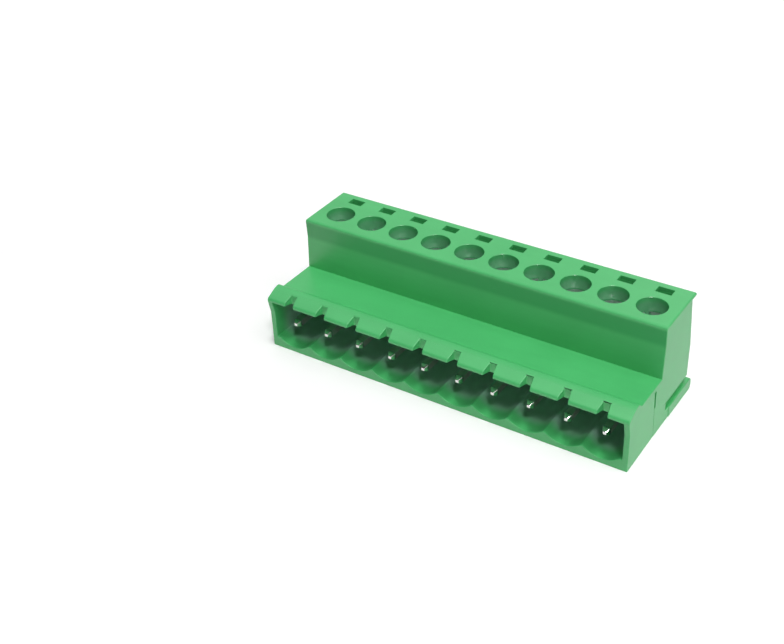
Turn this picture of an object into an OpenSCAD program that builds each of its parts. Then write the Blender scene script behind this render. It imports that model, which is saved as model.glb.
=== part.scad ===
// Pin half of a pluggable screw terminal block: a moulded housing with a shroud
// around a row of square pins, a wire guide closing its back, and one rising-cage
// screw clamp per pole.
// Frame: origin under the middle of the block, X along the row of poles, -Y the
// mating side with the pins, +Y the wire side, Z up to the screw heads.

/* [Row of poles] */
// Number of poles in the row
pole_count = 10; // [2:1:16]
// Distance from one pole to the next
pitch = 5.08; // [5:0.01:7.62]
// From the last pole to the outside of the end wall
end_margin = 3.47; // [3.3:0.01:6]

/* [Screw block] */
// Height of the top face above the base
body_h = 15.3; // [14.2:0.1:20]
// From the front wall of the screw block to the wire face
block_d = 8.65; // [8.3:0.05:12]
// Wall between the front of the screw block and the clamp chambers
front_wall_t = 0.85; // [0.7:0.05:1.2]
// End walls beside the wire guide
end_wall_t = 0.85; // [0.75:0.05:1.2]
// How far the top plate overhangs the wire face
eave_reach = 0.4; // [0.1:0.05:1]
// Thickness of the overhanging top plate
eave_t = 0.45; // [0.3:0.05:0.9]
// How far the back edge of an end wall leans forward at its top
end_rake = 1; // [0.1:0.1:1.5]
// How far the end walls stand out behind the wire face at their foot
end_proud = 0.1; // [0:0.05:0.4]
// Setback of the rounding on the front top edge of the screw block
block_round = 0.45; // [0.1:0.05:0.7]
// From the top face down to the shallow fold across the front wall
fold_drop = 2.8; // [1.5:0.1:5]
// How far the fold lies behind the top edge of the front wall
fold_depth = 0.15; // [0.05:0.05:0.3]
// How far the foot of the front wall lies in front of its top edge
wall_lean = 0.1; // [0:0.05:0.4]
// Setback of the rounding on the top edges of the end walls
end_round = 0.3; // [0.1:0.05:0.5]

/* [Shroud] */
// From the front rim of the shroud to the front wall of the screw block
shroud_d = 9.1; // [8.5:0.1:12]
// Height of the flat top of the shroud
shroud_h = 7.9; // [7.6:0.1:8.6]
// Floor of the shroud at the ridges between its troughs
shroud_floor_t = 1.6; // [1:0.05:2.2]
// Depth of the trough under each pin
trough_d = 0.9; // [0.2:0.05:0.95]
// Width of the ridge between two troughs
ridge_w = 0.3; // [0.1:0.05:1]
// Roof of the shroud
shroud_roof_t = 0.8; // [0.6:0.05:1.2]
// End walls of the shroud at its rim
shroud_end_t = 0.75; // [0.55:0.05:1.2]
// Wall between the shroud and the clamp chambers, contact web included
back_wall_t = 1.5; // [1.3:0.05:2.5]
// How far the rim of the shroud stands out past the end wall
rim_flare = 0.07; // [0:0.01:0.3]
// How far the end wall stands out past the shroud where they meet
end_step = 0.05; // [0.02:0.01:0.3]
// From the rim to the front edge of the end wall, at the base
seam_low_d = 7.75; // [6.5:0.05:8.5]
// From the rim to the front edge of the end wall, at the top of the shroud
seam_high_d = 6.95; // [6:0.05:8.5]
// Height of the foot of the slot in the end seam
seam_slot_h = 4.6; // [3:0.1:5.4]
// Length of the slot in the end seam
seam_slot_l = 2.6; // [1:0.1:3]
// Width of the slot in the end seam at its top
seam_slot_w = 0.45; // [0.1:0.05:0.6]
// Depth of the slot in the end seam
seam_slot_d = 0.35; // [0.1:0.05:0.4]
// Height at which the rim starts to lean forward to the lip
shoulder_h = 5.4; // [3:0.1:6.5]

/* [Latch lip] */
// How far the lip stands out in front of the rim
lip_reach = 0.41; // [0.1:0.01:0.8]
// Height of the crest of the lip above the top of the shroud
lip_rise = 0.85; // [0.3:0.05:1.2]
// From the rim to the crest of the lip
lip_crest_d = 2.1; // [1.8:0.05:3]
// Length of the ramp behind the crest
lip_ramp_d = 0.95; // [0.4:0.05:2]
// Length of the flatter part of the lip in front of the crest
lip_flat_d = 0.85; // [0.3:0.05:1.5]
// How far the lip falls along its flatter part
lip_flat_drop = 0.2; // [0.05:0.01:0.25]
// Height of the front face of the lip
lip_face_h = 0.45; // [0.3:0.05:1]
// How far the roof flares up at the mouth of the shroud
mouth_rise = 0.22; // [0.05:0.01:0.4]
// Width of a coding notch at the front of the lip
notch_front_w = 1.4; // [1:0.05:2.4]
// Width of a coding notch at its back
notch_back_w = 0.87; // [0.4:0.01:0.95]
// Depth of a coding notch from the front of the lip
notch_d = 1.41; // [0.6:0.01:1.8]

/* [Screw holes and marker slots] */
// Diameter of a screw hole
hole_d = 3.9; // [3.6:0.1:4.1]
// From the front wall of the screw block to the line of screw holes
hole_setback = 3.54; // [3.4:0.02:4]
// Chamfer around the mouth of a screw hole
hole_rim = 0.05; // [0.02:0.01:0.25]
// Width of a marker slot along the row
slot_w = 2.1; // [1:0.1:3]
// Length of a marker slot across the row
slot_l = 1.25; // [0.6:0.05:1.3]
// From the wire face to the back edge of a marker slot
slot_inset = 0.65; // [0.6:0.05:0.9]
// Depth of a marker slot below the top plate
slot_sink = 1.2; // [0.5:0.1:2]

/* [Base] */
// Height of the base lip behind the wire face
base_h = 1.7; // [1.2:0.05:2]
// How far the base lip stands out behind the wire face
base_reach = 1.7; // [0.5:0.1:3]
// From the wire face to the front end of the base lip under the end walls
base_len = 5.5; // [3.5:0.1:8]
// Height of the finger groove above the base lip
groove_h = 1.3; // [0.8:0.1:3]
// Depth of the finger groove
groove_depth = 0.4; // [0.15:0.01:0.55]
// From the wire face to the front end of the finger groove
groove_len = 6.7; // [3:0.1:8]

/* [Wire guide] */
// Width of a wire entry
entry_w = 2.6; // [1.6:0.05:2.7]
// How far the funnel is wider than the entry, at each side
funnel_side = 0.65; // [0.2:0.05:0.9]
// How far the funnel is taller than the entry, above and below
funnel_rise = 1.05; // [0.3:0.05:1.1]
// Depth of the funnel
funnel_d = 1.6; // [0.8:0.05:2]
// How far the upper panel leans in at its top
panel_rake = 0.2; // [0:0.05:0.25]
// Height of the drip ridge above the wire funnels
ridge_gap = 0.9; // [0.4:0.05:1.5]
// Thickness of the drip ridge
ridge_t = 0.3; // [0.15:0.05:0.6]
// How far the drip ridge stands out of the wire face
ridge_proud = 0.2; // [0.05:0.05:0.3]
// Height of a side latch
latch_h = 2; // [1:0.1:3]
// Length of a side latch
latch_l = 0.9; // [0.5:0.1:1.2]
// How far a side latch reaches into the end wall
latch_proud = 0.25; // [0.1:0.05:0.4]

/* [Screw clamp] */
// Height of the floor of the clamp chambers
chamber_floor_h = 2.55; // [2.3:0.05:3.2]
// Length of a clamp cage along the wire
cage_l = 4.6; // [4.2:0.1:4.9]
// Side walls of a clamp cage
cage_wall_t = 0.6; // [0.4:0.05:0.65]
// Floor of a clamp cage
cage_floor_t = 0.8; // [0.5:0.05:1]
// Threaded top of a clamp cage
cage_top_t = 1.4; // [1:0.1:1.6]
// Outer rounding of a clamp cage
cage_round = 0.5; // [0.1:0.05:0.55]
// Clear height for the wire in the open clamp
wire_gap = 3.2; // [2.6:0.05:3.3]
// Travel of the cage from open to closed
clamp_travel = 2.4; // [1.5:0.1:2.6]
// Diameter of the clamp screw
screw_d = 2.6; // [2.4:0.1:2.8]
// Height of the screw head
head_h = 2.05; // [1.5:0.05:2.5]
// Width of the driver slot
driver_slot_w = 0.7; // [0.4:0.05:1]
// Depth of the driver slot
driver_slot_d = 0.95; // [0.5:0.05:1.2]
// Turn of the driver slot from one screw to the next as fitted
slot_turn = 67; // [0:1:90]

/* [Pin contact] */
// Width and height of a pin
pin_w = 1; // [0.8:0.05:1.2]
// Height of the pin's axis above the base
pin_h = 4; // [3.6:0.05:4.4]
// From the rim of the shroud back to the tip of a pin
pin_setback = 0.74; // [0.2:0.02:2]
// Length of the tapered tip of a pin
pin_taper_l = 0.55; // [0.2:0.05:1]
// Width of the flat at the tip of a pin
pin_tip_w = 0.4; // [0.2:0.05:0.7]
// Thickness of the contact strip in the clamp
strip_t = 0.8; // [0.5:0.05:0.8]
// Width of the contact strip in the clamp
strip_w = 2.4; // [1.6:0.05:2.5]
// How far the contact strip reaches into the wire guide
strip_seat = 0.35; // [0.15:0.05:0.8]

/* [Clearances] */
// Between pieces that are pushed together
fit_gap = 0.05; // [0.02:0.01:0.1]
// Between the screw and the cage, and between the cage and its stops
run_gap = 0.05; // [0.02:0.01:0.09]
// Between the cage and the walls of its chamber
slide_gap = 0.1; // [0.05:0.01:0.15]
// Between the screw head and its hole
head_gap = 0.09; // [0.03:0.01:0.1]

/* [Hidden] */
$fn = 64;
// Overshoot of a cut past the face that it opens
over = 0.6;
function numbered(word, k) = str(word, "_", k < 10 ? "0" : "", k);

// Lengths along the row
function pole_x(k) = (k - (pole_count + 1) / 2) * pitch;
end_x = pole_x(pole_count) + end_margin;
rim_x = end_x + rim_flare;
shroud_root_x = end_x - end_step;
cavity_x = rim_x - shroud_end_t;
guide_x = end_x - end_wall_t;

// Depths, from the tip of the latch lip to the tail of the base lip
overall_d = lip_reach + shroud_d + block_d + base_reach;
nose_y = -overall_d / 2;
rim_y = nose_y + lip_reach;
wall_y = rim_y + shroud_d;
face_y = wall_y + block_d;
tail_y = face_y + base_reach;
eave_y = face_y + eave_reach;
foot_y = face_y + end_proud;
crest_y = rim_y + lip_crest_d;
hole_y = wall_y + hole_setback;
chamber_y = wall_y + front_wall_t;
cavity_y = chamber_y - back_wall_t;
guide_y = hole_y + cage_l / 2 + slide_gap;
slot_y = face_y - slot_inset - slot_l;
panel_y = slot_y - slide_gap;
// The front edge of an end wall leans back towards its foot
function seam_y(z) = rim_y + seam_low_d + (seam_high_d - seam_low_d) * z / shroud_h;

// Heights of the clamp, built up from the chamber floor
cage_low_z = chamber_floor_h + run_gap;
entry_low_z = cage_low_z + cage_floor_t;
strip_low_z = entry_low_z + wire_gap;
strip_top_z = strip_low_z + strip_t;
cage_top_low_z = strip_top_z + run_gap;
cage_open_z = cage_top_low_z + cage_top_t;
chamber_top_z = cage_open_z + clamp_travel + run_gap;
head_top_z = chamber_top_z + head_h;

// Other heights
cavity_top_z = shroud_h - shroud_roof_t;
mouth_top_z = cavity_top_z + mouth_rise;
lip_face_z = mouth_top_z + lip_face_h;
crest_z = shroud_h + lip_rise;
eave_z = body_h - eave_t;
guide_step_z = chamber_top_z + slide_gap;
funnel_top_z = strip_low_z + funnel_rise;
ridge_z = funnel_top_z + ridge_gap;
latch_z = (ridge_z + guide_step_z) / 2 - latch_h / 2;
latch_y = (guide_y + face_y) / 2 - latch_l / 2;

// Widths that follow from a fit: the screw's end dips between the walls of the rising cage
cage_room_w = screw_d + 2 * slide_gap;
cage_w = cage_room_w + 2 * cage_wall_t;
chamber_w = cage_w + 2 * slide_gap;
head_d = hole_d - 2 * head_gap;
cage_bore_d = screw_d + 2 * run_gap;
funnel_w = entry_w + 2 * funnel_side;

// A trough is an arc across its pole's share of the shroud
trough_w = min(pitch, 2 * (cavity_x - pole_x(pole_count))) - ridge_w;
trough_r = (trough_w * trough_w / 4 + trough_d * trough_d) / (2 * trough_d);

// Small roundings: the rim of the shroud, the crest and the nose of its lip, the eave and the base lip
rim_soft = 0.2;
crest_soft = 0.3;
nose_soft = 0.35;
eave_soft = 0.3;
tail_soft = 0.75;
// Small roundings of the clamp: screw head, screw tip, the inside of the cage and the bent strip
head_soft = 0.2;
tip_soft = 0.35;
room_soft = 0.2;
strip_soft = 0.25;

// Outlines are lists of corners [a, b, setback]. A setback above 0 rounds the corner.
function unit(v) = v / norm(v);
function flat(c) = [c[0], c[1]];
function soft(a, b, c, t, n = 5) =
    let (p = b + t * unit(a - b), q = b + t * unit(c - b))
    [for (k = [0:n]) let (s = k / n) (1 - s) * (1 - s) * p + 2 * s * (1 - s) * b + s * s * q];
function outline(c) =
    let (n = len(c))
    [for (k = [0:n - 1]) each c[k][2] > 0
        ? soft(flat(c[(k + n - 1) % n]), flat(c[k]), flat(c[(k + 1) % n]), c[k][2])
        : [flat(c[k])]];

// A side outline (y, z) drawn along the row
module along_row(length)
    rotate([90, 0, 90]) linear_extrude(length, center = true) children();

// A front outline (x, z) drawn from one depth to another
module along_depth(y0, y1)
    translate([0, y1, 0]) rotate([90, 0, 0]) linear_extrude(y1 - y0) children();

// A box from its lowest corner to its highest corner
module span(low, high)
    translate(low) cube(high - low);

module at_poles()
    for (k = [1:pole_count]) translate([pole_x(k), 0, 0]) children();

module at_both_ends()
    for (side = [0, 1]) mirror([side, 0, 0]) children();

// What is cut away to round an edge that runs along Z, with the body on the side of +X and +Y
module corner_cut(length, t)
    linear_extrude(length)
        polygon(concat([[-over, -over], [t, -over]], soft([1, 0], [0, 0], [0, 1], t), [[-over, t]]));

// The screw block with its end walls, as one section along the row
module screw_block() {
    difference() {
        along_row(2 * end_x) polygon(outline([
            [seam_y(0), 0, 0],
            [foot_y, 0, 0],
            [foot_y, shroud_h, 0],
            [foot_y - end_rake, eave_z, 0],
            [eave_y, eave_z, 0],
            [eave_y, body_h, eave_soft],
            [wall_y, body_h, block_round],
            [wall_y + fold_depth, body_h - fold_drop, 0],
            [wall_y - wall_lean, shroud_h, 0],
            [seam_y(shroud_h), shroud_h, 0]
        ]));
        at_both_ends() translate([-end_x, wall_y - over, body_h]) rotate([-90, 0, 0])
            corner_cut(eave_y - wall_y + 2 * over, end_round);
    }
}

// The shroud with its latch lip, drawn in a little from its rim to the screw block
module shroud() {
    root_y = chamber_y;
    intersection() {
        along_row(2 * rim_x + over) polygon(outline([
            [rim_y, 0, 0],
            [root_y, 0, 0],
            [root_y, shroud_h, 0],
            [crest_y + lip_ramp_d, shroud_h, crest_soft],
            [crest_y, crest_z, crest_soft],
            [crest_y - lip_flat_d, crest_z - lip_flat_drop, crest_soft],
            [nose_y, lip_face_z, nose_soft],
            [nose_y, mouth_top_z, 0],
            [rim_y, shoulder_h, rim_soft]
        ]));
        translate([0, 0, -over]) linear_extrude(body_h) polygon([
            [-rim_x, nose_y - over],
            [rim_x, nose_y - over],
            [shroud_root_x, root_y + over],
            [-shroud_root_x, root_y + over]
        ]);
    }
}

// The base lip that runs under the end walls and out behind the wire face
module base_lip()
    along_row(2 * rim_x) polygon(outline([
        [face_y - base_len, 0, 0],
        [tail_y, 0, tail_soft],
        [tail_y, base_h, tail_soft],
        [face_y - base_len, base_h, 0]
    ]));

// The space behind the clamps that the wire guide fills
module guide_recess()
    along_row(2 * guide_x) polygon([
        [guide_y, base_h],
        [tail_y + over, base_h],
        [tail_y + over, eave_z],
        [panel_y, eave_z],
        [panel_y, guide_step_z],
        [guide_y, guide_step_z]
    ]);

// The room for the mating plug, with its roof flared at the mouth
module plug_room()
    along_row(2 * cavity_x) polygon([
        [cavity_y, shroud_floor_t],
        [cavity_y, cavity_top_z],
        [nose_y + notch_d, cavity_top_z],
        [nose_y, mouth_top_z],
        [nose_y - over, mouth_top_z],
        [nose_y - over, shroud_floor_t]
    ]);

// The round trough under one pin
module trough() {
    side_x = trough_w / 2 + ridge_w / 4;
    intersection() {
        translate([0, cavity_y, shroud_floor_t - trough_d + trough_r]) rotate([90, 0, 0])
            cylinder(h = overall_d, r = trough_r);
        span([-side_x, nose_y - over, 0], [side_x, cavity_y + over, shroud_floor_t + over]);
    }
}

// One pole's cuts in the housing: trough, notch, clamp chamber, contact seat, screw hole, marker slot
module pole_cuts() {
    seat_w = strip_w / 2 + fit_gap;
    hole_w = pin_w / 2 + fit_gap;
    seat_y = chamber_y - strip_t - fit_gap;
    trough();
    translate([0, 0, cavity_top_z - over]) linear_extrude(body_h) polygon([
        [-notch_front_w / 2, nose_y - over],
        [notch_front_w / 2, nose_y - over],
        [notch_front_w / 2, nose_y],
        [notch_back_w / 2, nose_y + notch_d],
        [-notch_back_w / 2, nose_y + notch_d],
        [-notch_front_w / 2, nose_y]
    ]);
    span([-chamber_w / 2, chamber_y, chamber_floor_h], [chamber_w / 2, guide_y + slide_gap, chamber_top_z]);
    span([-seat_w, seat_y, pin_h - hole_w], [seat_w, chamber_y + over, strip_top_z + fit_gap]);
    span([-hole_w, cavity_y - over, pin_h - hole_w], [hole_w, chamber_y, pin_h + hole_w]);
    translate([0, hole_y, chamber_top_z - over]) cylinder(h = body_h, d = hole_d);
    translate([0, hole_y, body_h - hole_rim])
        cylinder(h = hole_rim + over, d1 = hole_d, d2 = hole_d + 2 * (hole_rim + over));
    span([-slot_w / 2, slot_y, eave_z - eave_t / 2], [slot_w / 2, slot_y + slot_l, body_h + over]);
}

// One end's cuts in the housing: finger groove, seam slot and latch pocket
module end_cuts() {
    groove_x = end_x - groove_depth;
    groove_top_z = base_h + groove_h;
    slot_top_z = seam_slot_h + seam_slot_l;
    along_depth(face_y - groove_len, tail_y + over) polygon(outline([
        [end_x + over, base_h, 0],
        [groove_x, base_h, 0],
        [groove_x, base_h + groove_h / 2, groove_h / 3],
        [end_x, groove_top_z, 0],
        [end_x + over, groove_top_z, 0]
    ]));
    translate([end_x - seam_slot_d, 0, 0]) rotate([90, 0, 90]) linear_extrude(2 * over) polygon([
        [seam_y(seam_slot_h), seam_slot_h],
        [seam_y(seam_slot_h) + seam_slot_w * 2 / 3, seam_slot_h],
        [seam_y(slot_top_z) + seam_slot_w, slot_top_z],
        [seam_y(slot_top_z), slot_top_z]
    ]);
    span(
        [guide_x - over, latch_y - fit_gap, latch_z - fit_gap],
        [guide_x + latch_proud, latch_y + latch_l + fit_gap, latch_z + latch_h + fit_gap]
    );
}

module housing()
    color([0.24, 0.68, 0.38]) difference() {
        union() {
            screw_block();
            shroud();
            base_lip();
        }
        plug_room();
        guide_recess();
        at_poles() pole_cuts();
        at_both_ends() end_cuts();
    }

// A tapered mouth for one wire, deepest at the entry
module wire_funnel() {
    throat_y = face_y - funnel_d;
    intersection() {
        translate([0, 0, base_h]) linear_extrude(ridge_z) polygon([
            [-entry_w / 2, throat_y],
            [entry_w / 2, throat_y],
            [funnel_w / 2, face_y],
            [funnel_w / 2, face_y + over],
            [-funnel_w / 2, face_y + over],
            [-funnel_w / 2, face_y]
        ]);
        along_row(funnel_w + over) polygon([
            [throat_y, entry_low_z],
            [face_y, entry_low_z - funnel_rise],
            [face_y + over, entry_low_z - funnel_rise],
            [face_y + over, funnel_top_z],
            [face_y, funnel_top_z],
            [throat_y, strip_low_z]
        ]);
    }
}

// One pole's cuts in the wire guide: funnel, wire entry, strip seat, marker slot
module guide_cuts() {
    seat_w = strip_w / 2 + fit_gap;
    wire_funnel();
    span([-entry_w / 2, guide_y - over, entry_low_z], [entry_w / 2, face_y - funnel_d / 2, strip_low_z]);
    span(
        [-seat_w, guide_y - over, strip_low_z - fit_gap],
        [seat_w, guide_y + strip_seat + fit_gap, strip_top_z + fit_gap]
    );
    span(
        [-slot_w / 2 - slide_gap, panel_y - over, eave_z - slot_sink],
        [slot_w / 2 + slide_gap, slot_y + slot_l, eave_z + over]
    );
}

module wire_guide()
    color([0.22, 0.62, 0.35]) difference() {
        union() {
            along_row(2 * (guide_x - fit_gap)) polygon([
                [guide_y, base_h],
                [face_y, base_h],
                [face_y, ridge_z],
                [face_y + ridge_proud, ridge_z],
                [face_y + ridge_proud, ridge_z + ridge_t],
                [face_y, ridge_z + ridge_t],
                [face_y - panel_rake, eave_z - fit_gap],
                [panel_y + fit_gap, eave_z - fit_gap],
                [panel_y + fit_gap, guide_step_z - fit_gap],
                [guide_y, guide_step_z - fit_gap]
            ]);
            at_both_ends() span(
                [guide_x - over, latch_y, latch_z],
                [guide_x + latch_proud - fit_gap, latch_y + latch_l, latch_z + latch_h]
            );
        }
        at_poles() guide_cuts();
    }

// A slotted cheese-head screw that turns in place, with its tip on the contact strip
module clamp_screw(k)
    color([0.80, 0.81, 0.83]) translate([pole_x(k), hole_y, 0]) difference() {
        rotate_extrude() polygon([
            [0, strip_top_z],
            [screw_d / 2 - tip_soft, strip_top_z],
            [screw_d / 2, strip_top_z + tip_soft],
            [screw_d / 2, chamber_top_z],
            [head_d / 2, chamber_top_z],
            [head_d / 2, head_top_z - head_soft],
            [head_d / 2 - head_soft, head_top_z],
            [0, head_top_z]
        ]);
        rotate([0, 0, k * slot_turn]) span(
            [-hole_d, -driver_slot_w / 2, head_top_z - driver_slot_d],
            [hole_d, driver_slot_w / 2, head_top_z + over]
        );
    }

// A bent cage that the screw lifts, shown open
module clamp_cage(k)
    color([0.72, 0.73, 0.74]) translate([pole_x(k), hole_y, 0]) difference() {
        wall_x = cage_w / 2;
        room_x = cage_room_w / 2;
        along_depth(-cage_l / 2, cage_l / 2) polygon(outline([
            [-wall_x, cage_low_z, cage_round],
            [wall_x, cage_low_z, cage_round],
            [wall_x, cage_open_z, cage_round],
            [-wall_x, cage_open_z, cage_round]
        ]));
        along_depth(-cage_l / 2 - over, cage_l / 2 + over) polygon(outline([
            [-room_x, entry_low_z, room_soft],
            [room_x, entry_low_z, room_soft],
            [room_x, cage_top_low_z, room_soft],
            [-room_x, cage_top_low_z, room_soft]
        ]));
        translate([0, 0, cage_top_low_z - over]) cylinder(h = cage_top_t + 2 * over, d = cage_bore_d);
    }

// A square pin that steps up to a flat strip running through the cage
module pin_contact(k)
    color([0.84, 0.85, 0.86]) translate([pole_x(k), 0, 0]) {
        tip_y = rim_y + pin_setback;
        web_y = chamber_y - strip_t;
        half = pin_w / 2;
        tip = pin_tip_w / 2;
        intersection() {
            translate([0, 0, pin_h - half]) linear_extrude(pin_w) polygon([
                [-tip, tip_y],
                [tip, tip_y],
                [half, tip_y + pin_taper_l],
                [half, chamber_y],
                [-half, chamber_y],
                [-half, tip_y + pin_taper_l]
            ]);
            along_row(2 * pin_w) polygon([
                [tip_y, pin_h - tip],
                [tip_y + pin_taper_l, pin_h - half],
                [chamber_y, pin_h - half],
                [chamber_y, pin_h + half],
                [tip_y + pin_taper_l, pin_h + half],
                [tip_y, pin_h + tip]
            ]);
        }
        along_row(strip_w) polygon(outline([
            [web_y, pin_h - half, 0],
            [chamber_y, pin_h - half, 0],
            [chamber_y, strip_low_z, strip_soft],
            [guide_y + strip_seat, strip_low_z, 0],
            [guide_y + strip_seat, strip_top_z, 0],
            [web_y, strip_top_z, strip_soft]
        ]));
    }

housing();
wire_guide();
for (k = [1:pole_count]) {
    clamp_screw(k);
    clamp_cage(k);
    pin_contact(k);
}
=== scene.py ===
"""Looks of a pluggable screw terminal block, pin half: green mouldings, plated screws, cages and pins."""

import math

import bmesh
import bpy
from mathutils import Matrix, Vector


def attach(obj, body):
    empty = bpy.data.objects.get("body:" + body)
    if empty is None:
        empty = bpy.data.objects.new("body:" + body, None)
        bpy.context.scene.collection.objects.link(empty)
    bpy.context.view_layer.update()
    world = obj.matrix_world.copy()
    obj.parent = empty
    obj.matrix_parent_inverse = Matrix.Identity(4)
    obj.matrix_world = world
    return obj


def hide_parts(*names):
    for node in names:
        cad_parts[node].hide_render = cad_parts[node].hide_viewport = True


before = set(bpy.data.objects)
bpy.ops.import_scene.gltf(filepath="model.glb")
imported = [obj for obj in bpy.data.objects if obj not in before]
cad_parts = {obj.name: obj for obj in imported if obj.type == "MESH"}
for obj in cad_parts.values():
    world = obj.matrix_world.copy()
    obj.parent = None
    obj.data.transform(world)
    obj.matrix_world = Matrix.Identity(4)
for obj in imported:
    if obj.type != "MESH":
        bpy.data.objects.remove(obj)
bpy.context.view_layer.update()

# Metres in a millimetre. The sizes named below are in millimetres
MM = 0.001

# Sizes of the part's source
POLES = 10
PITCH = 5.08
END_X = 26.33
TOP_Z = 15.3
FOLD_Z = 12.5
HOLE_Y = 3.12
HOLE_R = 1.95
SHROUD_Z = 7.9
CAVITY_X = 25.65
CAVITY_Y = -1.07
CAVITY_TOP_Z = 7.1
PIN_TIP_Y = -8.78
STRIP_TOP_Z = 7.4
HEAD_LOW_Z = 11.3
HEAD_TOP_Z = 13.35
HEAD_R = 1.86
HEAD_SOFT = 0.2
TIP_SOFT = 0.35
SCREW_R = 1.3
SLOT_W = 0.7
SLOT_DEPTH = 0.95
SLOT_TURN = 67

# The screw thread, which only the scene draws, with the lead of the joints in the record
THREAD_LEAD = 0.5
THREAD_DEPTH = 0.24
THREAD_RUNOUT = 0.3
ROWS_A_TURN = 10
POINTS_A_ROW = 64

# Zones of the housing and the wire guide whose edges are rounded differently
LOW_EDGE_Z = 0.05
TOP_BAND_Z = 14.6
BACK_Y = 8.0
END_BAND = 0.45
OPENINGS_INSET = 0.5
WALL_FOOT_Y = -0.52
WALL_FOOT_BAND = 0.2
SEAM_Y = (-2.9, -1.6)
SEAM_TOP_Z = 7.85
GROOVE_FRONT_Y = 1.3
GROOVE_Z = (1.6, 3.2)
TOP_OPENINGS_Y = (0.9, 7.7)
MARKER_SLOTS_Y = (6.1, 7.7)
MARKER_SLOTS_Z = 15.2
RAIL_Y = (2.9, 9.1)
RAIL_Z = (1.6, 1.75)
ENTRIES_Y = 6.5

# Rounding of the edges of cages and pins
METAL_ROUND = 0.06

# Where the painted grey sheen in the shroud grows, from the mouth inwards
SHEEN_Y = (-8.4, -5.8)

# Points within WELD count as one, faces within FLAT as one plane, and edges past SHARP as corners
WELD = 0.0005
FLAT = math.radians(0.5)
SHARP = math.radians(32)

# The camera, fitted to the pins, holes and corners
CAMERA_SPOT = (68.429, -117.708, 99.579)
CAMERA_AZIMUTH = 34.685
CAMERA_ELEVATION = 34.113
CAMERA_ROLL = -2.668
CAMERA_LENS = 57.805

# Half the width of the table, and the point that every lamp is turned to
FLOOR_HALF = 1500
LAMP_AIM = (0, 0, 8)


def link(name, data):
    piece = bpy.data.objects.new(name, data)
    bpy.context.scene.collection.objects.link(piece)
    return piece


def named(word, k):
    return f"{word}_{k:02d}"


def rgb(r, g, b):
    return (r, g, b, 1.0)


def make_camera():
    azimuth, elevation = math.radians(CAMERA_AZIMUTH), math.radians(CAMERA_ELEVATION)
    back = Vector((
        math.sin(azimuth) * math.cos(elevation),
        -math.cos(azimuth) * math.cos(elevation),
        math.sin(elevation),
    ))
    roll = Matrix.Rotation(math.radians(CAMERA_ROLL), 3, "Z")
    turn = (-back).to_track_quat("-Z", "Y").to_matrix() @ roll
    camera = link("camera", bpy.data.cameras.new("camera"))
    camera.matrix_world = Matrix.Translation(Vector(CAMERA_SPOT) * MM) @ turn.to_4x4()
    camera.data.lens = CAMERA_LENS
    camera.data.clip_start = 0.005
    camera.data.clip_end = 20
    bpy.context.scene.camera = camera


class Field:
    """One value of a finish's nodes. Sums, differences, products and quotients add Math nodes."""

    def __init__(self, finish, socket):
        self.finish = finish
        self.socket = socket

    def math(self, operation, first, second):
        return self.finish.node("Math", {"operation": operation}, {0: first, 1: second})

    def __add__(self, other):
        return self.math("ADD", self, other)

    def __radd__(self, other):
        return self.math("ADD", other, self)

    def __sub__(self, other):
        return self.math("SUBTRACT", self, other)

    def __rsub__(self, other):
        return self.math("SUBTRACT", other, self)

    def __mul__(self, other):
        return self.math("MULTIPLY", self, other)

    def __rmul__(self, other):
        return self.math("MULTIPLY", other, self)

    def __truediv__(self, other):
        return self.math("DIVIDE", self, other)

    def __rtruediv__(self, other):
        return self.math("DIVIDE", other, self)


class Finish:
    """The nodes of a material, or of the room's light."""

    def __init__(self, owner):
        owner.use_nodes = True
        self.owner = owner
        self.tree = owner.node_tree
        self.tree.nodes.clear()

    def node(self, kind, settings=None, sockets=None, out=0):
        """Adds a node: first its settings, then the values or links of its sockets."""
        made = self.tree.nodes.new("ShaderNode" + kind)
        for key, value in (settings or {}).items():
            setattr(made, key, value)
        for key, value in (sockets or {}).items():
            if isinstance(value, Field):
                self.tree.links.new(value.socket, made.inputs[key])
            else:
                made.inputs[key].default_value = value
        return Field(self, made.outputs[out]) if made.outputs else None

    def spot_mm(self):
        """The point on the surface, in the piece's own frame, in millimetres."""
        place = self.node("TexCoord", out="Object")
        return self.node("VectorMath", {"operation": "SCALE"}, {0: place, "Scale": 1 / MM})

    def parts(self, spot):
        split = self.node("SeparateXYZ", {}, {0: spot}).socket.node
        return [Field(self, socket) for socket in split.outputs]

    def rays(self, *kinds):
        """For each kind of ray, whether the one that meets the surface is of it."""
        known = self.node("LightPath").socket.node.outputs
        return [Field(self, known[kind]) for kind in kinds]

    def stretched(self, spot, scale):
        return self.node("VectorMath", {"operation": "MULTIPLY"}, {0: spot, 1: scale})

    def reach(self, a, b):
        """The distance from an axis, from the two distances across it."""
        return self.node("Math", {"operation": "SQRT"}, {0: a * a + b * b})

    def noise(self, spot, scale, detail=2.0, roughness=0.5):
        sockets = {"Vector": spot, "Scale": scale, "Detail": detail, "Roughness": roughness}
        return self.node("TexNoise", {}, sockets)

    def ease(self, value, low, high):
        """0 below low, 1 above high, eased between."""
        limits = {"Value": value, "From Min": low, "From Max": high}
        return self.node("MapRange", {"interpolation_type": "SMOOTHSTEP"}, limits)

    def fall(self, value, low, high):
        """1 below low, 0 above high, eased between."""
        return 1.0 - self.ease(value, low, high)

    def blend(self, share, first, second):
        sockets = {"Factor": share, 6: first, 7: second}
        return self.node("Mix", {"data_type": "RGBA"}, sockets, out=2)

    def bump(self, height, distance_mm, strength, under=None):
        sockets = {"Height": height, "Distance": distance_mm * MM, "Strength": strength}
        if under is not None:
            sockets["Normal"] = under
        return self.node("Bump", {}, sockets)

    def surface(self, **sockets):
        spaced = {key.replace("_", " "): value for key, value in sockets.items()}
        shader = self.node("BsdfPrincipled", {}, spaced)
        self.node("OutputMaterial", {}, {"Surface": shader})
        return self.owner


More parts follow.
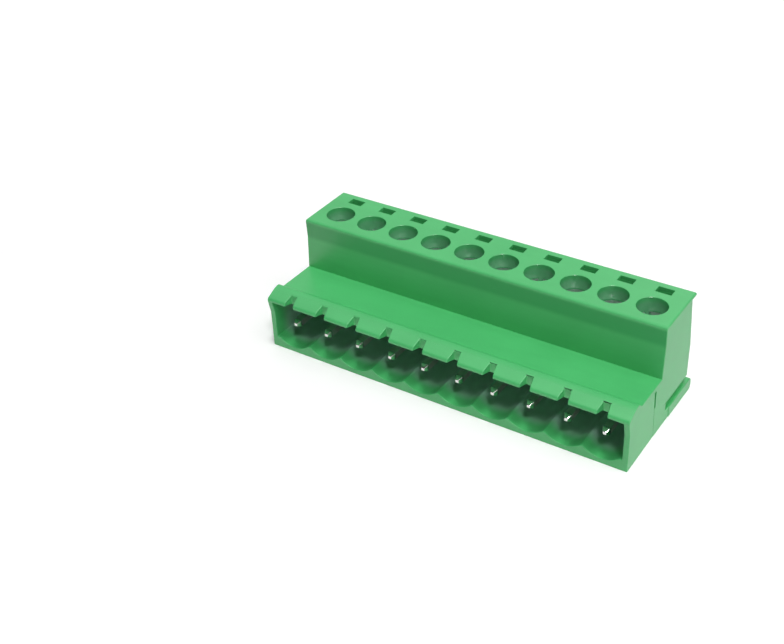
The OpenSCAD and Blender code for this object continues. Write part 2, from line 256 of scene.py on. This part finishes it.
def moulded_green(name, deep, light, upper, bore_reflection, bloom_and_sheen):
    """Satin polyamide: slow drift of the pigment, flow streaks, fine spark grain, polished screw holes,
    and painted shade, reflection and sheen.
    """
    finish = Finish(bpy.data.materials.new(name))
    spot = finish.spot_mm()
    x, y, z = finish.parts(spot)
    wide = finish.node("Math", {"operation": "ABSOLUTE"}, {0: x})
    drift = finish.noise(spot, 0.11, detail=3.0)
    streak = finish.noise(finish.stretched(spot, (0.25, 1.0, 1.6)), 0.6, detail=4.0, roughness=0.6)
    speck = finish.noise(spot, 7.0, detail=1.0)
    tone = drift * 0.55 + streak * 0.3 + speck * 0.15
    pigment = finish.blend(finish.ease(tone, 0.3, 0.7), deep, light)
    # Above its fold the front wall gets a deeper green: painted shade
    height = finish.ease(z, FOLD_Z - 0.5, FOLD_Z + 0.5) * finish.fall(z, TOP_Z - 0.7, TOP_Z - 0.3)
    painted_shade_band = height * finish.fall(y, 0.0, 0.2) * finish.fall(wide, END_X - 0.1, END_X)
    pigment = finish.blend(painted_shade_band, pigment, upper)
    # Polished core pins form the screw holes, so the walls are glossier; their upper walls take a greyer
    # green, a painted reflection
    across = (finish.node("Math", {"operation": "FRACT"}, {0: x / PITCH}) - 0.5) * PITCH
    reach = finish.reach(across, y - HOLE_Y)
    row_end = POLES / 2 * PITCH
    in_row = finish.fall(wide, row_end - 0.1, row_end + 0.1)
    below = finish.fall(z, TOP_Z - 0.05, TOP_Z - 0.02)
    polished = in_row * below * finish.fall(reach, HOLE_R + 0.005, HOLE_R + 0.03)
    reflection_mask = polished * finish.fall(z, TOP_Z - 1.0, TOP_Z - 0.2)
    # Inside the shroud the walls around the pins get a grey, lighter green: painted sheen
    under_roof = finish.fall(z, CAVITY_TOP_Z - 0.15, CAVITY_TOP_Z + 0.05)
    between_ends = finish.fall(wide, CAVITY_X - 0.02, CAVITY_X + 0.08)
    behind_mouth = finish.ease(y, *SHEEN_Y) * finish.fall(y, CAVITY_Y + 0.1, CAVITY_Y + 0.2)
    sheen_mask = under_roof * between_ends * behind_mouth
    colour = finish.blend(sheen_mask, finish.blend(reflection_mask, pigment, bore_reflection), bloom_and_sheen)
    roughness = 0.2 + (1.0 - polished) * (0.12 + streak * 0.06 + speck * 0.05)
    peel = finish.noise(spot, 1.1)
    grain = finish.noise(spot, 9.0, roughness=0.6)
    normal = finish.bump(grain, 0.004, 0.25, finish.bump(peel, 0.02, 0.12))
    return finish.surface(
        Base_Color=colour,
        Roughness=roughness,
        Normal=normal,
        IOR=1.53,
        Specular_IOR_Level=0.62,
    )


def turned_zinc(name, deep, light):
    """Bright zinc plate on a turned screw: tool rings on the head, a fine mottle of the plating."""
    finish = Finish(bpy.data.materials.new(name))
    spot = finish.spot_mm()
    x, y, _ = finish.parts(spot)
    rings = finish.node("Math", {"operation": "SINE"}, {0: finish.reach(x, y) * 70.0})
    mottle = finish.noise(spot, 3.0, detail=4.0, roughness=0.6)
    scuff = finish.noise(finish.stretched(spot, (1.0, 6.0, 1.0)), 2.5, detail=3.0)
    colour = finish.blend(mottle, deep, light)
    roughness = 0.3 + mottle * 0.2 + scuff * 0.08
    normal = finish.bump(rings, 0.003, 0.6, finish.bump(mottle, 0.006, 0.5))
    return finish.surface(Base_Color=colour, Roughness=roughness, Normal=normal, Metallic=1.0)


def bent_zinc(name, deep, light):
    """Dull zinc plate on bent strip steel, with rolling lines along the wire."""
    finish = Finish(bpy.data.materials.new(name))
    spot = finish.spot_mm()
    lines = finish.noise(finish.stretched(spot, (14.0, 0.8, 14.0)), 1.0, detail=3.0, roughness=0.6)
    bloom_and_sheen = finish.noise(spot, 1.4, detail=4.0, roughness=0.6)
    colour = finish.blend(bloom_and_sheen * 0.7 + lines * 0.3, deep, light)
    roughness = 0.3 + bloom_and_sheen * 0.2 + lines * 0.08
    normal = finish.bump(lines, 0.006, 0.7)
    return finish.surface(Base_Color=colour, Roughness=roughness, Normal=normal, Metallic=1.0)


def drawn_tin(name, deep, light, shaft_shade):
    """Tin over drawn wire: lighter and glossy at the tip, satin along the shaft, whose darker colour is
    painted shade, with faint draw lines.
    """
    finish = Finish(bpy.data.materials.new(name))
    spot = finish.spot_mm()
    _, y, _ = finish.parts(spot)
    lines = finish.noise(finish.stretched(spot, (11.0, 0.5, 11.0)), 1.0)
    bloom_and_sheen = finish.noise(spot, 2.2, detail=4.0, roughness=0.55)
    shaft = finish.ease(y, PIN_TIP_Y + 0.05, PIN_TIP_Y + 0.5)
    satin = finish.ease(y, PIN_TIP_Y + 0.5, PIN_TIP_Y + 1.1)
    # Behind the tip the shaft takes a darker tin colour: painted shade
    colour = finish.blend(shaft, finish.blend(bloom_and_sheen, deep, light), shaft_shade)
    roughness = 0.08 + bloom_and_sheen * 0.08 + lines * 0.04 + satin * 0.4
    normal = finish.bump(lines, 0.004, 0.5)
    return finish.surface(Base_Color=colour, Roughness=roughness, Normal=normal, Metallic=1.0)


def dress(node, material):
    """Gives a piece of the frame its finish."""
    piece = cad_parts[node]
    piece.data.materials.clear()
    piece.data.materials.append(material)
    return piece


def soften(piece):
    """Gives a metal piece of the frame the small roundings of a real edge."""
    weld = piece.modifiers.new("weld", "WELD")
    weld.merge_threshold = WELD * MM
    planes = piece.modifiers.new("planes", "DECIMATE")
    planes.decimate_type = "DISSOLVE"
    planes.angle_limit = FLAT
    edges = piece.modifiers.new("edges", "BEVEL")
    edges.width = METAL_ROUND * MM
    edges.segments = 2
    edges.limit_method = "ANGLE"
    edges.angle_limit = SHARP
    edges.use_clamp_overlap = True
    shade = piece.modifiers.new("shade", "WEIGHTED_NORMAL")
    shade.mode = "FACE_AREA"
    shade.weight = 100
    shade.keep_sharp = True


def as_mesh(name, built):
    mesh = bpy.data.meshes.new(name)
    built.to_mesh(mesh)
    built.free()
    return mesh


def round_edges(built, width_mm, wanted):
    """Rounds the sharp edges whose middle, in millimetres, is wanted."""
    sharp = [
        edge for edge in built.edges
        if len(edge.link_faces) == 2
        and edge.calc_face_angle() > SHARP
        and wanted(*((edge.verts[0].co + edge.verts[1].co) / (2 * MM)))
    ]
    bmesh.ops.bevel(
        built, geom=sharp, offset=width_mm * MM, offset_type="OFFSET", segments=3, profile=0.5,
        affect="EDGES", clamp_overlap=False,
    )


def even_normals(mesh):
    """Flat faces keep their own normal, however they are cut up, and the roundings shade into them."""
    faces = mesh.polygons
    beside = {}
    for face in faces:
        for key in face.edge_keys:
            beside.setdefault(key, []).append(face.index)
    plane = list(range(len(faces)))

    def first(n):
        while plane[n] != n:
            plane[n] = plane[plane[n]]
            n = plane[n]
        return n

    for pair in beside.values():
        if len(pair) == 2 and faces[pair[0]].normal.dot(faces[pair[1]].normal) > math.cos(FLAT):
            plane[first(pair[0])] = first(pair[1])
    area = [0.0] * len(faces)
    touching = [[] for _ in mesh.vertices]
    for face in faces:
        area[first(face.index)] += face.area
        for corner in face.vertices:
            touching[corner].append(face.index)
    normals = []
    for face in faces:
        for corner in face.vertices:
            near = [n for n in touching[corner] if faces[n].normal.dot(face.normal) > math.cos(SHARP)]
            normals.append(sum((faces[n].normal * area[first(n)] for n in near), Vector()).normalized())
    mesh.shade_smooth()
    mesh.normals_split_custom_set(normals)


def soft_moulding(node, material, roundings):
    """Stands in for a moulded piece of the frame: the same solid with its visible edges rounded."""
    built = bmesh.new()
    built.from_mesh(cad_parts[node].data)
    bmesh.ops.remove_doubles(built, verts=built.verts, dist=WELD * MM)
    bmesh.ops.dissolve_limit(built, angle_limit=FLAT, verts=built.verts, edges=built.edges)
    low, high = ([pick(vert.co[n] for vert in built.verts) for n in range(3)] for pick in (min, max))
    for width_mm, wanted in roundings:
        round_edges(built, width_mm, wanted)
    # No rounding reaches past the box of the solid
    for vert in built.verts:
        vert.co = [min(max(place, least), most) for place, least, most in zip(vert.co, low, high)]
    mesh = as_mesh("moulded_" + node, built)
    even_normals(mesh)
    mesh.materials.append(material)
    piece = link("moulded_" + node, mesh)
    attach(piece, "housing")
    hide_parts(node)


def within(place, zone):
    return zone[0] < place < zone[1]


def at_end(x):
    return abs(x) > END_X - END_BAND


def between_end_walls(x):
    return abs(x) < END_X - OPENINGS_INSET


def housing_edge(x, y, z):
    """Edges of the housing that show, without those that are crisper or have no room for this rounding."""
    shows = y < CAVITY_Y - 0.1 or z > TOP_BAND_Z or at_end(x) or y > BACK_Y
    seam = at_end(x) and within(y, SEAM_Y) and z < SEAM_TOP_Z
    groove = at_end(x) and within(z, GROOVE_Z) and y > GROOVE_FRONT_Y
    wall_foot = max(abs(y - WALL_FOOT_Y), abs(z - SHROUD_Z)) < WALL_FOOT_BAND
    top_opening = z > TOP_BAND_Z and within(y, TOP_OPENINGS_Y) and between_end_walls(x)
    return shows and z > LOW_EDGE_Z and not (seam or groove or wall_foot or top_opening)


def crisp_edge(x, y, z):
    """The lower edges and the mouths of the marker slots."""
    marker_slot = z > MARKER_SLOTS_Z and within(y, MARKER_SLOTS_Y) and between_end_walls(x)
    return z < LOW_EDGE_Z or marker_slot


def rail_edge(x, y, z):
    """The upper edge of the base lip, under the finger groove."""
    return abs(x) > END_X and within(z, RAIL_Z) and within(y, RAIL_Y)


def guide_edge(x, y, z):
    """The edges around the wire entries."""
    return y > ENTRIES_Y


def screw_profile():
    """The screw's outline from its tip to the middle of its head: radius, height, share of the thread."""
    neck, fillet, rim = SCREW_R - THREAD_DEPTH, 0.08, 0.05
    rows = [(0.0, STRIP_TOP_Z, 0), (neck - TIP_SOFT, STRIP_TOP_Z, 0)]
    low, high = STRIP_TOP_Z + TIP_SOFT, HEAD_LOW_Z - THREAD_RUNOUT
    count = round((high - low) / THREAD_LEAD * ROWS_A_TURN)
    # The thread fades in over a quarter of its length and out over a sixth
    for n in range(count + 1):
        share = min(1.0, 4.0 * n / count, 6.0 * (count - n) / count)
        rows.append((neck, low + (high - low) * n / count, share))
    rows += [(neck, HEAD_LOW_Z - fillet, 0), (neck + fillet, HEAD_LOW_Z, 0), (HEAD_R - rim, HEAD_LOW_Z, 0)]
    rows += [(HEAD_R, HEAD_LOW_Z + rim, 0), (HEAD_R, HEAD_TOP_Z - HEAD_SOFT, 0)]
    steps = 4
    for n in range(1, steps + 1):
        turn = math.pi / 2 * n / steps
        inwards, downwards = HEAD_SOFT * (1 - math.cos(turn)), HEAD_SOFT * (1 - math.sin(turn))
        rows.append((HEAD_R - inwards, HEAD_TOP_Z - downwards, 0))
    rows.append((0.0, HEAD_TOP_Z, 0))
    return rows


def screw_ring(built, radius, height, share):
    """One row of the screw's points, pushed out where the thread passes, or a single point on the axis."""
    if radius == 0:
        return [built.verts.new((0, 0, height * MM))]
    ring = []
    for n in range(POINTS_A_ROW):
        turn = 2 * math.pi * n / POINTS_A_ROW
        phase = (height / THREAD_LEAD - n / POINTS_A_ROW) % 1.0
        # Flat crest and root, steep flanks
        crest = min(1.0, max(0.0, 2.4 * (1 - abs(2 * phase - 1)) - 0.6))
        reach = (radius + THREAD_DEPTH * crest * share) * MM
        ring.append(built.verts.new((reach * math.cos(turn), reach * math.sin(turn), height * MM)))
    return ring


def screw_mesh():
    """A cheese-head screw with a helical thread and a driver slot, on its own axis."""
    built = bmesh.new()
    rings = [screw_ring(built, *row) for row in screw_profile()]
    for low, high in zip(rings, rings[1:]):
        for n in range(POINTS_A_ROW):
            m = (n + 1) % POINTS_A_ROW
            corners = [low[n % len(low)], low[m % len(low)], high[m % len(high)], high[n % len(high)]]
            built.faces.new(list(dict.fromkeys(corners)))
    bmesh.ops.recalc_face_normals(built, faces=built.faces)
    blank = link("screw_blank", as_mesh("screw_blank", built))
    cutter = link("slot_cutter", slot_mesh())
    cut = blank.modifiers.new("slot", "BOOLEAN")
    cut.object = cutter
    cut.solver = "EXACT"
    made = bpy.data.meshes.new_from_object(blank.evaluated_get(bpy.context.evaluated_depsgraph_get()))
    made.name = "clamp_screw"
    for spare in (blank, cutter):
        bpy.data.objects.remove(spare)
    made.materials.clear()
    made.shade_smooth()
    made.set_sharp_from_angle(angle=SHARP)
    return made


def slot_mesh():
    """What the driver slot takes out of the head, a little wider at its mouth."""
    half, mouth, reach = SLOT_W / 2, 0.06, HEAD_R + 0.5
    low, top = HEAD_TOP_Z - SLOT_DEPTH, HEAD_TOP_Z
    outline = [
        (-half, low), (half, low), (half, top - mouth), (half + 2 * mouth, top + mouth),
        (-half - 2 * mouth, top + mouth), (-half, top - mouth),
    ]
    built = bmesh.new()
    ends = [[built.verts.new((x * MM, y * MM, z * MM)) for y, z in outline] for x in (-reach, reach)]
    for n in range(len(outline)):
        m = (n + 1) % len(outline)
        built.faces.new((ends[0][n], ends[0][m], ends[1][m], ends[1][n]))
    for end in ends:
        built.faces.new(end)
    bmesh.ops.recalc_face_normals(built, faces=built.faces)
    return as_mesh("slot_cutter", built)


def fit_screws(material):
    """Stands in for the plain screws of the frame, each with its slot turned differently."""
    pattern = screw_mesh()
    pattern.materials.append(material)
    for k in range(1, POLES + 1):
        screw = link(named("slotted_screw", k), pattern.copy())
        screw.location = ((k - (POLES + 1) / 2) * PITCH * MM, HOLE_Y * MM, 0)
        screw.rotation_euler = (0, 0, math.radians(k * SLOT_TURN))
        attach(screw, named("screw", k))
        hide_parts(named("clamp_screw", k))


def make_floor():
    """A pale table top that stays white to the camera and keeps a soft shadow."""
    mesh = bpy.data.meshes.new("floor")
    half = FLOOR_HALF * MM
    corners = [(-half, -half, 0), (half, -half, 0), (half, half, 0), (-half, half, 0)]
    mesh.from_pydata(corners, [], [(0, 1, 2, 3)])
    floor = link("floor", mesh)
    finish = Finish(bpy.data.materials.new("table_white"))
    seen, mirrored, through = finish.rays("Is Camera Ray", "Is Glossy Ray", "Is Transmission Ray")
    spot = finish.spot_mm()
    x, y, _ = finish.parts(spot)
    reach = finish.reach(x, y)
    paper = finish.noise(spot, 0.02)
    colour = finish.blend(paper, rgb(0.84, 0.835, 0.84), rgb(0.87, 0.865, 0.87))
    matt = finish.node("BsdfDiffuse", {}, {"Color": colour})
    near = finish.blend(finish.ease(reach, 60, 220), rgb(0.18, 0.175, 0.178), rgb(0.48, 0.47, 0.475))
    lift = finish.blend(finish.ease(reach, 200, 800), near, rgb(1.0, 1.0, 1.0))
    glow = finish.node("Emission", {}, {"Color": lift, "Strength": seen + mirrored + through})
    both = finish.node("AddShader", {}, {0: matt, 1: glow})
    finish.node("OutputMaterial", {}, {"Surface": both})
    mesh.materials.append(finish.owner)


def soft_lamp(name, spot_mm, size_mm, level):
    """A square lamp. Level 1 lights a facing surface so that its colour renders as it is written."""
    spot, aim = Vector(spot_mm) * MM, Vector(LAMP_AIM) * MM
    lamp = bpy.data.lights.new(name, "AREA")
    lamp.shape = "SQUARE"
    lamp.size = size_mm * MM
    lamp.energy = level * math.pi ** 2 * (spot - aim).length_squared
    turn = (aim - spot).to_track_quat("-Z", "Y").to_matrix()
    link(name, lamp).matrix_world = Matrix.Translation(spot) @ turn.to_4x4()


def light_the_table():
    """Seven soft lamps, and a room that is white to the camera and faint to all else."""
    room = Finish(bpy.data.worlds.new("studio"))
    bpy.context.scene.world = room.owner
    [seen] = room.rays("Is Camera Ray")
    sky = room.node("Background", {}, {"Color": rgb(1.0, 1.0, 1.0), "Strength": 0.05 + seen * 0.95})
    room.node("OutputWorld", {}, {"Surface": sky})
    soft_lamp("ceiling_lamp", (50, -50, 500), 90, 0.42)
    soft_lamp("front_panel", (187, -210, 424), 65, 0.30)
    soft_lamp("right_panel", (265, 0, 424), 330, 0.23)
    soft_lamp("left_panel", (-265, 0, 424), 330, 0.11)
    soft_lamp("right_window", (441, 0, 235), 330, 0.075)
    soft_lamp("back_window", (0, 441, 235), 330, 0.17)
    soft_lamp("corner_window", (-312, 312, 235), 330, 0.085)


make_camera()
# A deeper green for the front wall above its fold: painted shade
painted_shade_green = rgb(0.032, 0.37, 0.100)
# A greyer green for the upper walls of the screw holes: painted reflection
bore_reflection_green = rgb(0.115, 0.45, 0.20)
# A grey, lighter green inside the shroud: painted sheen
sheen_green = rgb(0.34, 0.54, 0.45)
painted_greens = (painted_shade_green, bore_reflection_green, sheen_green)
housing_green = moulded_green("housing_green", rgb(0.066, 0.46, 0.142), rgb(0.080, 0.52, 0.166), *painted_greens)
guide_green = moulded_green("guide_green", rgb(0.062, 0.44, 0.136), rgb(0.075, 0.49, 0.158), *painted_greens)
cage_steel = bent_zinc("cage_steel", rgb(0.46, 0.47, 0.48), rgb(0.62, 0.63, 0.64))
# The darker tin of the pin shafts is painted shade
shaft_shade_tin = rgb(0.52, 0.52, 0.51)
contact_tin = drawn_tin("contact_tin", rgb(0.70, 0.70, 0.68), rgb(0.82, 0.82, 0.80), shaft_shade_tin)
screw_zinc = turned_zinc("screw_zinc", rgb(0.40, 0.42, 0.43), rgb(0.55, 0.57, 0.58))

housing_roundings = [(0.1, housing_edge), (0.04, crisp_edge), (0.25, rail_edge)]
soft_moulding("housing", housing_green, housing_roundings)
soft_moulding("wire_guide", guide_green, [(0.08, guide_edge)])
for pole in range(1, POLES + 1):
    soften(dress(named("clamp_cage", pole), cage_steel))
    soften(dress(named("pin_contact", pole), contact_tin))
fit_screws(screw_zinc)
make_floor()
light_the_table()
bpy.context.scene.view_settings.view_transform = "Standard"
